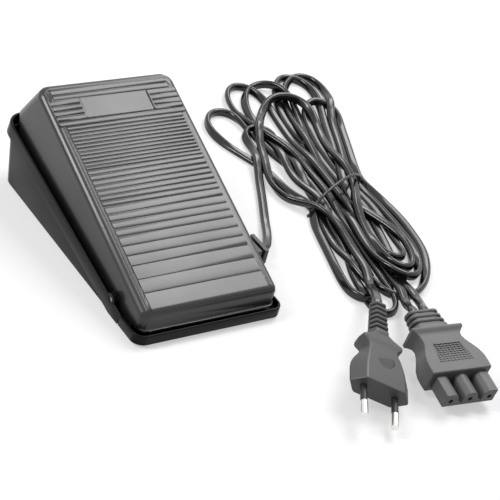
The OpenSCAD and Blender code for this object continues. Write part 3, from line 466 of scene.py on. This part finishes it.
TREADLE_PLASTIC = finish("treadle_plastic", (0.007, 0.007, 0.0075), 0.33,
                         specular=0.45, coat=0.3, wear=0.5)
BASE_PLASTIC = finish("base_plastic", (0.003, 0.003, 0.0032), 0.28, specular=0.12, wear=0.4)
FOOT_RUBBER = finish("foot_rubber", (0.020, 0.020, 0.020), 0.75, grain=500.0, bump=0.35)
DRAWN_STEEL = finish("drawn_steel", (0.55, 0.56, 0.58), 0.28, metallic=1.0, grain=2400.0)
ZINC_PLATE = finish("zinc_plate", (0.62, 0.63, 0.64), 0.32, metallic=1.0, grain=1800.0)
PHENOLIC = finish("phenolic_board", (0.40, 0.24, 0.10), 0.5, grain=2200.0, patch=60.0, bump=0.2)
CASE_PLASTIC = finish("case_plastic", (0.05, 0.08, 0.14), 0.4)
NYLON = finish("natural_nylon", (0.80, 0.78, 0.70), 0.4)
SPRING_WIRE = finish("spring_wire", (0.45, 0.46, 0.48), 0.3, metallic=1.0, grain=2400.0)
DEVICE_EPOXY = finish("device_epoxy", (0.02, 0.02, 0.02), 0.5)
SINK_METAL = finish("sink_metal", (0.68, 0.69, 0.70), 0.38, metallic=1.0, grain=1500.0)
FERRITE = finish("ferrite", (0.08, 0.08, 0.085), 0.55, grain=1600.0, bump=0.4)
ENAMELLED_COPPER = finish("enamelled_copper", (0.55, 0.22, 0.07), 0.25, metallic=0.8, grain=2600.0,
                          bump=0.5)
CAPACITOR_BOX = finish("capacitor_box", (0.60, 0.44, 0.08), 0.42)
RESISTOR_LACQUER = finish("resistor_lacquer", (0.60, 0.48, 0.34), 0.4)
TRIMMER_BLUE = finish("trimmer_blue", (0.05, 0.18, 0.48), 0.42)
TERMINAL_GREEN = finish("terminal_green", (0.06, 0.28, 0.12), 0.45)
WIRE_BROWN = finish("wire_brown", (0.17, 0.08, 0.04), 0.4)
GLAND_PLASTIC = finish("gland_plastic", (0.028, 0.028, 0.030), 0.42, grain=1200.0)
PLUG_PLASTIC = finish("plug_plastic", (0.070, 0.070, 0.072), 0.42, grain=1400.0, bump=0.25,
                      wear=0.2)
CONNECTOR_PLASTIC = finish("connector_plastic", (0.095, 0.095, 0.097), 0.48, grain=1400.0, bump=0.3,
                           wear=0.2)
NICKEL = finish("nickel_plate", (0.80, 0.79, 0.76), 0.16, metallic=1.0, grain=2400.0)
SLEEVE_BLACK = finish("sleeve_black", (0.015, 0.015, 0.016), 0.42)
BRASS = finish("contact_brass", (0.70, 0.52, 0.24), 0.28, metallic=1.0)
TIE_PLASTIC = finish("tie_plastic", (0.020, 0.020, 0.022), 0.35)
CORD_PLASTIC = finish("cord_plastic", (0.005, 0.005, 0.0055), 0.16, rough_spread=0.05, grain=1200.0,
                      bump=0.1)

NODE_FINISH = {
    "base_tray": BASE_PLASTIC, "rubber_feet": FOOT_RUBBER, "treadle_cover": TREADLE_PLASTIC,
    "hinge_rod": DRAWN_STEEL, "circuit_board": PHENOLIC, "board_screws": ZINC_PLATE,
    "control_case": CASE_PLASTIC, "control_plunger": NYLON, "return_spring": SPRING_WIRE,
    "triac": DEVICE_EPOXY, "heat_sink": SINK_METAL, "choke_core": FERRITE,
    "choke_winding": ENAMELLED_COPPER, "suppressor_capacitor": CAPACITOR_BOX,
    "resistors": RESISTOR_LACQUER, "trimmer": TRIMMER_BLUE, "terminal_block": TERMINAL_GREEN,
    "terminal_screws": ZINC_PLATE, "lead_wires": WIRE_BROWN, "inner_lead": CORD_PLASTIC,
    "rest_pads": FOOT_RUBBER, "cord_gland": GLAND_PLASTIC, "cord_clamp": GLAND_PLASTIC,
    "clamp_screws": ZINC_PLATE, "plug_body": PLUG_PLASTIC, "plug_pins": NICKEL,
    "pin_sleeves": SLEEVE_BLACK, "connector_body": CONNECTOR_PLASTIC, "connector_contacts": BRASS,
    "cord_tie": TIE_PLASTIC, "pedal_cord_run": CORD_PLASTIC, "plug_cord_run": CORD_PLASTIC,
    "connector_cord_runs": CORD_PLASTIC, "cord_hank": CORD_PLASTIC,
}
for node_name, material in NODE_FINISH.items():
    data = NODES[node_name].data
    data.materials.clear()
    data.materials.append(material)

for lead in (pedal_lead, mains_lead):
    lead.data.materials.append(CORD_PLASTIC)


# ---------------------------------------------------------------- modelling helpers

def new_piece(name, bm, body, material, place, sharp):
    """Makes the mesh an object at the origin, with its place in its mesh, riding on the body."""
    bmesh.ops.holes_fill(bm, edges=[e for e in bm.edges if e.is_boundary], sides=0)
    bmesh.ops.recalc_face_normals(bm, faces=bm.faces)
    for face in bm.faces:
        face.smooth = True
    bmesh.ops.transform(bm, matrix=place, verts=bm.verts)
    data = bpy.data.meshes.new(name)
    bm.to_mesh(data)
    bm.free()
    data.set_sharp_from_angle(angle=math.radians(sharp))
    data.materials.append(material)
    piece = bpy.data.objects.new(name, data)
    bpy.context.scene.collection.objects.link(piece)
    even_shading(piece)
    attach(piece, body)
    return piece


def even_shading(piece):
    """Large flat faces keep their own normals, and small ones between them carry the curve."""
    tool = piece.modifiers.new("even_shading", "WEIGHTED_NORMAL")
    tool.mode, tool.weight, tool.keep_sharp = "FACE_AREA", 100, True


def turned_to(at, turn):
    """From millimetres in the piece's own frame, along +Y, to its place on the floor."""
    x, y, z = (math.radians(a) for a in turn)
    return (Matrix.Translation(mm(*at)) @ Matrix.Rotation(z, 4, "Z") @ Matrix.Rotation(x, 4, "X")
            @ Matrix.Rotation(y, 4, "Y") @ Matrix.Scale(MM, 4))


def lofted(bm, sections):
    """Extrudes the first section's face through the others, and gives back the rings of corners."""
    ring = [bm.verts.new(p) for p in sections[0]]
    face = bm.faces.new(ring)
    rings = [ring]
    for section in sections[1:]:
        before = [v.co.copy() for v in ring]
        inner = face
        grown = bmesh.ops.extrude_face_region(bm, geom=[face])["geom"]
        face = next(g for g in grown if isinstance(g, bmesh.types.BMFace))
        if len(rings) > 1 and inner.is_valid:
            bmesh.ops.delete(bm, geom=[inner], context="FACES_ONLY")
        corners = list(face.verts)
        ring = [min(corners, key=lambda v: (v.co - b).length) for b in before]
        for corner, point in zip(ring, section):
            corner.co = point
        rings.append(ring)
    return rings


def soften(bm, edges, width, steps=3):
    """Rounds the edges, each taken once."""
    bmesh.ops.bevel(bm, geom=list(dict.fromkeys(edges)), offset=width, offset_type="OFFSET",
                    affect="EDGES", segments=steps, profile=0.5, material=-1, clamp_overlap=True)


def soften_ends(bm, rings, width):
    """Rounds every edge that meets the rings."""
    soften(bm, [e for ring in rings for v in ring for e in v.link_edges], width, 2)


def lines_between(rings, corners):
    """The long edges of a loft that run from ring to ring at the given corners."""
    found = []
    for a, b in zip(rings, rings[1:]):
        for k in corners:
            found += [e for e in a[k].link_edges if e.other_vert(a[k]) is b[k]]
    return found


def edges_round(ring):
    """The edges that join the corners of one ring."""
    return [e for v in ring for e in v.link_edges if all(w in ring for w in e.verts)]


def points_of(geom):
    """The points among what an operator gives back."""
    return [g for g in geom if isinstance(g, bmesh.types.BMVert)]


def cut_away(piece, cutter):
    """Takes the cutter's volume out of the piece for good."""
    piece.modifiers.clear()
    tool = piece.modifiers.new("cut", "BOOLEAN")
    tool.operation, tool.solver, tool.object = "DIFFERENCE", "EXACT", cutter
    graph = bpy.context.evaluated_depsgraph_get()
    data = bpy.data.meshes.new_from_object(piece.evaluated_get(graph))
    piece.modifiers.clear()
    old, piece.data = piece.data, data
    bpy.data.meshes.remove(old)
    bpy.data.objects.remove(cutter)
    even_shading(piece)


def make_cutter(bm, place):
    """A loose object in its place, for cut_away to use up."""
    bmesh.ops.transform(bm, matrix=place, verts=bm.verts)
    bmesh.ops.recalc_face_normals(bm, faces=bm.faces)
    data = bpy.data.meshes.new("cutter")
    bm.to_mesh(data)
    bm.free()
    obj = bpy.data.objects.new("cutter", data)
    bpy.context.scene.collection.objects.link(obj)
    return obj


# ---------------------------------------------------------------- mains plug

PLUG_PLACE = turned_to((49.6, -157.1, 12), (10, 18, -32.7))
# From the face to the relief: how far along, half the width at the soft point, half the width of
# the flat, and half the height
PLUG_PROFILE = [
    (0, 17.3, 11.2, 6.6), (1.0, 17.65, 11.5, 6.85), (9, 17.65, 11.2, 6.85),
    (12.5, 17.0, 10.8, 6.75), (16, 15.4, 10.2, 6.5), (19.5, 13.0, 9.5, 6.2),
    (22.5, 10.9, 8.8, 5.7), (25, 9.9, 8.4, 5.2), (26.5, 10.0, 8.9, 5.0),
    (28.5, 11.9, 11.2, 5.3), (29.6, 12.3, 11.6, 5.4), (31, 12.1, 11.4, 5.3),
    (34, 8.2, 6.8, 4.6), (36.8, 5.6, 4.2, 4.0),
]
# The round thumb dish in the plug's top: its middle, its radii below and above, how deep its
# cutter is, and how it leans
DISH_AT = (0.2, 16.4, 7.7)
DISH_R_LOW, DISH_R_HIGH, DISH_CUT = 5.1, 5.9, 3.0
DISH_LEAN, DISH_TOWARDS = 8, (-0.5, 0.85, 0)


def hexagon_section(y, end, flat, h):
    """A long hexagon: flat top and bottom, with its ends brought to a soft point."""
    return [(-end, y, 0), (-flat, y, h), (flat, y, h), (end, y, 0), (flat, y, -h), (-flat, y, -h)]


def make_plug():
    """The plug's body, with its waist, shoulders and thumb dish."""
    bm = bmesh.new()
    rings = lofted(bm, [hexagon_section(*row) for row in PLUG_PROFILE])
    soften(bm, lines_between(rings, range(6)), 0.9)
    body = new_piece("mains_plug", bm, "base", PLUG_PLASTIC, PLUG_PLACE, sharp=40)
    dish = bmesh.new()
    bmesh.ops.create_cone(dish, cap_ends=True, segments=64, radius1=DISH_R_LOW,
                          radius2=DISH_R_HIGH, depth=DISH_CUT)
    lean = Matrix.Rotation(math.radians(DISH_LEAN), 3, Vector(DISH_TOWARDS).cross((0, 0, 1)))
    bmesh.ops.rotate(dish, cent=(0, 0, 0), matrix=lean, verts=dish.verts)
    bmesh.ops.translate(dish, vec=DISH_AT, verts=dish.verts)
    cut_away(body, make_cutter(dish, PLUG_PLACE))
    return body


def make_relief(name, place, start, end, ribs, first_size, last_size, section, material, core):
    """A tapered sleeve that the lead bends in: cross ribs on a core of that share of their size."""
    bm = bmesh.new()
    run = (end - start) / ribs
    for k in range(ribs):
        w, h = (a + (b - a) * k / (ribs - 1) for a, b in zip(first_size, last_size))
        back = start + k * run + (0.35 * run if k else -0.8)
        front = start + (k + 1) * run
        soften_ends(bm, lofted(bm, [section(back, w, h), section(front, w, h)]), 0.28 * run)
    cores = [section(start - 1.5, first_size[0] * core, first_size[1] * core),
             section(end - 0.3, last_size[0] * core, last_size[1] * core)]
    soften_ends(bm, lofted(bm, cores), 0.6)
    return new_piece(name, bm, "base", material, place, sharp=50)


def plug_relief_section(y, w, h):
    """The plug's relief carries on its long hexagon."""
    return hexagon_section(y, w, 0.62 * w, h)


def oval_section(y, w, h):
    """A wide section with round ends."""
    reach = h * 0.8
    turns = range(-90, 91, 30)
    ends = [(1, a) for a in turns] + [(-1, a + 180) for a in turns]
    return [((w - reach) * side + reach * math.cos(math.radians(a)), y,
             h * math.sin(math.radians(a))) for side, a in ends]


# ---------------------------------------------------------------- machine connector

CONNECTOR_PLACE = turned_to((98.4, -173, 8.2), (8, 0, -8))
# From behind the prongs to the relief: how far along, half the width and half the height
CONNECTOR_PROFILE = [
    (13.4, 18.0, 7.0), (18, 18.2, 7.0), (22, 18.0, 7.0), (26, 16.9, 6.9), (30, 14.9, 6.6),
    (33.5, 13.2, 6.1), (37, 12.4, 5.6), (39.5, 12.9, 5.6), (41.5, 14.6, 6.2),
    (42.6, 15.6, 7.0), (44.2, 15.6, 7.0), (44.8, 11.5, 5.6),
]
# The three prongs: half their width, their crown, their underside and their length
PRONG_HALF, PRONG_CROWN, PRONG_FLOOR, PRONG_L = 4.35, 4.7, -3.9, 14.5
OUTER_HALF, OUTER_LESS = 3.5, 0.7
# The web that joins the prongs below: half its width, its top, and where it starts
WEB_HALF, WEB_TOP, WEB_START = 15.1, -1.8, 0.2
# The sockets in them
SOCKET_PITCH, SOCKET_R, SOCKET_CUT = 11.8, 1.35, 22
# The waved grip lines: how many, where they start, their pitch and half their length at the first,
# how much shorter each is, half their width, and their waves
GRIP_LINES, GRIP_START, GRIP_PITCH, GRIP_HALF = 9, 20.5, 1.45, 10.2
GRIP_LESS, GRIP_LINE_HALF, WAVE, WAVE_TURNS = 0.28, 0.26, 0.22, 3.0
GRIP_H, GRIP_BOTTOM = 0.7, 6.58


def box_section(y, w, h):
    """A plain oblong."""
    return [(-w, y, h), (w, y, h), (w, y, -h), (-w, y, -h)]


def make_connector():
    """The connector's body, with its waist and the collar before the relief."""
    bm = bmesh.new()
    rings = lofted(bm, [box_section(*row) for row in CONNECTOR_PROFILE])
    soften(bm, lines_between(rings, range(4)) + edges_round(rings[0]), 0.8)
    return new_piece("machine_connector", bm, "base", CONNECTOR_PLASTIC, CONNECTOR_PLACE, sharp=40)


def prong_section(y, side):
    """One prong: flat below, a round crown above; the outer ones are square on their outer side."""
    spring = 0.6
    points = []
    for a in range(0, 181, 20):
        x = PRONG_HALF * math.cos(math.radians(a))
        z = spring + (PRONG_CROWN - spring) * math.sin(math.radians(a))
        if side and x * side > 0:
            corner = z + 2.2 * abs(x) / PRONG_HALF
            x, z = side * min(OUTER_HALF, abs(x) * 1.1), min(PRONG_CROWN - 0.2, corner)
        points.append((x, z))
    points.append((-PRONG_HALF + (OUTER_LESS if side < 0 else 0), PRONG_FLOOR))
    points.append((PRONG_HALF - (OUTER_LESS if side > 0 else 0), PRONG_FLOOR))
    return [(x + side * SOCKET_PITCH, y, z) for x, z in points]


def web_section(y):
    """The web under the prongs, level with their undersides."""
    return [(-WEB_HALF, y, WEB_TOP), (WEB_HALF, y, WEB_TOP),
            (WEB_HALF, y, PRONG_FLOOR), (-WEB_HALF, y, PRONG_FLOOR)]


def make_prongs():
    """The three prongs on their web, with the sockets bored in them."""
    bm = bmesh.new()
    for side in (-1, 0, 1):
        rings = lofted(bm, [prong_section(0.0, side), prong_section(PRONG_L, side)])
        soften(bm, edges_round(rings[0]), 0.35, 2)
    lofted(bm, [web_section(WEB_START), web_section(PRONG_L)])
    prongs = new_piece("connector_prongs", bm, "base", CONNECTOR_PLASTIC, CONNECTOR_PLACE, sharp=40)
    holes = bmesh.new()
    lying = Matrix.Rotation(math.radians(90), 3, "X")
    for side in (-1, 0, 1):
        made = bmesh.ops.create_cone(holes, cap_ends=True, segments=32, radius1=SOCKET_R,
                                     radius2=SOCKET_R, depth=SOCKET_CUT)["verts"]
        bmesh.ops.rotate(holes, cent=(0, 0, 0), matrix=lying, verts=made)
        bmesh.ops.translate(holes, vec=(side * SOCKET_PITCH, 0, 0), verts=made)
    cut_away(prongs, make_cutter(holes, CONNECTOR_PLACE))
    return prongs


def make_grip_waves():
    """Low waved lines on the connector's top, to hold it by, which follow its fall."""
    bm = bmesh.new()
    for k in range(GRIP_LINES):
        y, half = GRIP_START + GRIP_PITCH * k, GRIP_HALF - GRIP_LESS * k
        made = bmesh.ops.create_grid(bm, x_segments=60, y_segments=1, size=1.0)["verts"]
        for v in made:
            x = v.co.x * half
            v.co = (x, y + v.co.y * GRIP_LINE_HALF + WAVE * math.sin(x * WAVE_TURNS), 0)
        faces = dict.fromkeys(f for v in made for f in v.link_faces)
        top = points_of(bmesh.ops.extrude_face_region(bm, geom=list(faces))["geom"])
        bottom = GRIP_BOTTOM - max(0, y - 26) * 0.045
        bmesh.ops.translate(bm, vec=(0, 0, bottom), verts=made)
        bmesh.ops.translate(bm, vec=(0, 0, bottom + GRIP_H), verts=top)
    return new_piece("connector_grip", bm, "base", CONNECTOR_PLASTIC, CONNECTOR_PLACE, sharp=60)


# ---------------------------------------------------------------- tie

TIE_R = 0.95
# Round the hank from below: how far along the tie's line, and the height
TIE_PATH = [
    (-24.6, 1.4), (-12, 1.1), (6, 1.1), (19, 1.2), (23.6, 1.9), (25.4, 4.0), (25.0, 6.6),
    (21, 9.6), (13, 12.3), (3, 13.2), (-8, 12.6), (-17, 10.9), (-22.5, 8.4), (-25.2, 5.0),
    (-25.9, 2.4), (-27.6, 1.5), (-29.8, 1.3),
]


def make_tie():
    """A bent wire tie round the hank, its ends brought together at the left."""
    data = bpy.data.curves.new("wire_tie", "CURVE")
    data.dimensions = "3D"
    data.bevel_depth = TIE_R * MM
    data.bevel_resolution = 4
    data.use_fill_caps = True
    spline = data.splines.new("BEZIER")
    spline.bezier_points.add(len(TIE_PATH) - 1)
    for point, (t, z) in zip(spline.bezier_points, TIE_PATH):
        point.co = mm(*through_tie(t, z))
        point.handle_left_type = point.handle_right_type = "AUTO"
    spline.resolution_u = 8
    tie = tube_mesh("wire_tie", data)
    tie.data.materials.append(TIE_PLASTIC)
    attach(tie, "base")
    return tie


plug = make_plug()
plug_relief = make_relief("plug_relief", PLUG_PLACE, 36.2, 58.6, 7, (6.1, 4.4), (4.9, 3.7),
                          plug_relief_section, PLUG_PLASTIC, core=0.74)
connector = make_connector()
prongs = make_prongs()
connector_relief = make_relief("connector_relief", CONNECTOR_PLACE, 45.2, 58.6, 4, (11.2, 4.8),
                               (10.0, 4.2), oval_section, CONNECTOR_PLASTIC, core=0.82)
grip = make_grip_waves()
tie = make_tie()
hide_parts("plug_body")
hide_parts("connector_body")
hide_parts("cord_tie")


# ---------------------------------------------------------------- treadle, base and coil

# The treadle's sloping deck: its slope, which way is up from it, a point on it, and how far above
# it the tops of the bars are to lie and the highest crown of one lies now
DECK_SLOPE = math.radians(20.3)
DECK_UP = Vector((0, -math.sin(DECK_SLOPE), math.cos(DECK_SLOPE)))
DECK_POINT = mm(0, 10.21, 48.99)
BAR_TOP, CROWN_TOP = 0.39 * MM, 0.53 * MM
# How far apart corners of a node's loose faces may be to count as one
SAME_CORNER = 0.02 * MM


def level_bars(bm):
    """Brings the tops of the tread bars level, so that each shines as one flat face."""
    for vert in bm.verts:
        height = (vert.co - DECK_POINT).dot(DECK_UP)
        if BAR_TOP < height < CROWN_TOP:
            vert.co -= DECK_UP * (height - BAR_TOP)


def smooth_copy(node, name, body, sharp, shape=None):
    """The node's own shape with its corners joined, so that its curves shade smoothly."""
    bm = bmesh.new()
    bm.from_mesh(NODES[node].data)
    bmesh.ops.remove_doubles(bm, verts=bm.verts, dist=SAME_CORNER)
    if shape:
        shape(bm)
    for face in bm.faces:
        face.smooth = True
    data = bpy.data.meshes.new(name)
    bm.to_mesh(data)
    bm.free()
    data.set_sharp_from_angle(angle=math.radians(sharp))
    data.materials.clear()
    data.materials.append(NODE_FINISH[node])
    piece = bpy.data.objects.new(name, data)
    bpy.context.scene.collection.objects.link(piece)
    even_shading(piece)
    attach(piece, body)
    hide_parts(node)
    return piece


smooth_copy("treadle_cover", "treadle_shell", "treadle", 32, level_bars)
smooth_copy("base_tray", "base_shell", "base", 32)
coil = smooth_copy("return_spring", "return_coil", "base", 50)
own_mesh(coil)


# ---------------------------------------------------------------- stage and light

FLOOR_SIZE, FLOOR_TONE, FLOOR_GLOW = 6.0, 0.5, 0.5
SKY_LIGHT, SKY_SEEN = 0.22, 1.0
WHITE = (1, 1, 1, 1)
LAMPS_AIM = (0.03, 0.0, 0.03)
# Each softbox: the way to it, its distance and its size in metres, and how bright its face is
SOFTBOXES = {
    "overhead_softbox": ((0.51, 0.155, 0.846), 1.2, (0.62, 0.7), 7.5),
    "back_softbox": ((0.60, 0.62, 0.50), 1.3, (0.22, 0.6), 5.0),
    "edge_softbox": ((-0.66, 0.24, 0.71), 1.3, (0.2, 0.8), 18.0),
}


def seen_directly(tree):
    """Camera, mirror and glass rays: 1 for them, 0 for the rays that light the object."""
    path = add(tree, "LightPath")
    first = add(tree, "Math", operation="MAXIMUM")
    both = add(tree, "Math", operation="MAXIMUM")
    tree.links.new(path.outputs["Is Camera Ray"], first.inputs[0])
    tree.links.new(path.outputs["Is Glossy Ray"], first.inputs[1])
    tree.links.new(first.outputs["Value"], both.inputs[0])
    tree.links.new(path.outputs["Is Transmission Ray"], both.inputs[1])
    return both.outputs["Value"]


def make_stage():
    """A pale floor that glows a little for the rays that see it."""
    bpy.ops.mesh.primitive_plane_add(size=FLOOR_SIZE, location=(0, 0, 0))
    floor = bpy.context.object
    floor.name = "floor"
    material = bpy.data.materials.new("floor_white")
    material.use_nodes = True
    shader = material.node_tree.nodes["Principled BSDF"]
    shader.inputs["Base Color"].default_value = (FLOOR_TONE, FLOOR_TONE, FLOOR_TONE, 1)
    shader.inputs["Roughness"].default_value = 0.9
    shader.inputs["Specular IOR Level"].default_value = 0.1
    tree = material.node_tree
    glow = add(tree, "Emission")
    glow.inputs["Color"].default_value = WHITE
    glow.inputs["Strength"].default_value = FLOOR_GLOW
    seen = add(tree, "AddShader")
    mix = add(tree, "MixShader")
    link = tree.links.new
    link(shader.outputs["BSDF"], seen.inputs[0])
    link(glow.outputs["Emission"], seen.inputs[1])
    link(seen_directly(tree), mix.inputs["Fac"])
    link(shader.outputs["BSDF"], mix.inputs[1])
    link(seen.outputs["Shader"], mix.inputs[2])
    link(mix.outputs["Shader"], tree.nodes["Material Output"].inputs["Surface"])
    floor.data.materials.append(material)


def make_world():
    """A white sky: dim as a light, and white where it is seen or mirrored."""
    world = bpy.data.worlds.new("studio")
    bpy.context.scene.world = world
    world.use_nodes = True
    tree = world.node_tree
    tree.nodes.clear()
    out = add(tree, "OutputWorld")
    mix = add(tree, "MixShader")
    light = add(tree, "Background")
    light.inputs["Color"].default_value = WHITE
    light.inputs["Strength"].default_value = SKY_LIGHT
    seen = add(tree, "Background")
    seen.inputs["Color"].default_value = WHITE
    seen.inputs["Strength"].default_value = SKY_SEEN
    link = tree.links.new
    link(seen_directly(tree), mix.inputs["Fac"])
    link(light.outputs["Background"], mix.inputs[1])
    link(seen.outputs["Background"], mix.inputs[2])
    link(mix.outputs["Shader"], out.inputs["Surface"])


def make_softbox(name, towards, distance, size, strength):
    """An oblong light that faces the object from that way and distance."""
    data = bpy.data.lights.new(name, "AREA")
    data.shape = "RECTANGLE"
    data.size, data.size_y = size
    data.energy = strength * size[0] * size[1] * math.pi
    lamp = bpy.data.objects.new(name, data)
    direction = Vector(towards).normalized()
    lamp.location = Vector(LAMPS_AIM) + direction * distance
    lamp.rotation_euler = direction.to_track_quat("Z", "Y").to_euler()
    bpy.context.scene.collection.objects.link(lamp)


make_stage()
make_world()
for softbox, values in SOFTBOXES.items():
    make_softbox(softbox, *values)
bpy.context.scene.view_settings.view_transform = "Standard"

bpy.context.view_layer.update()
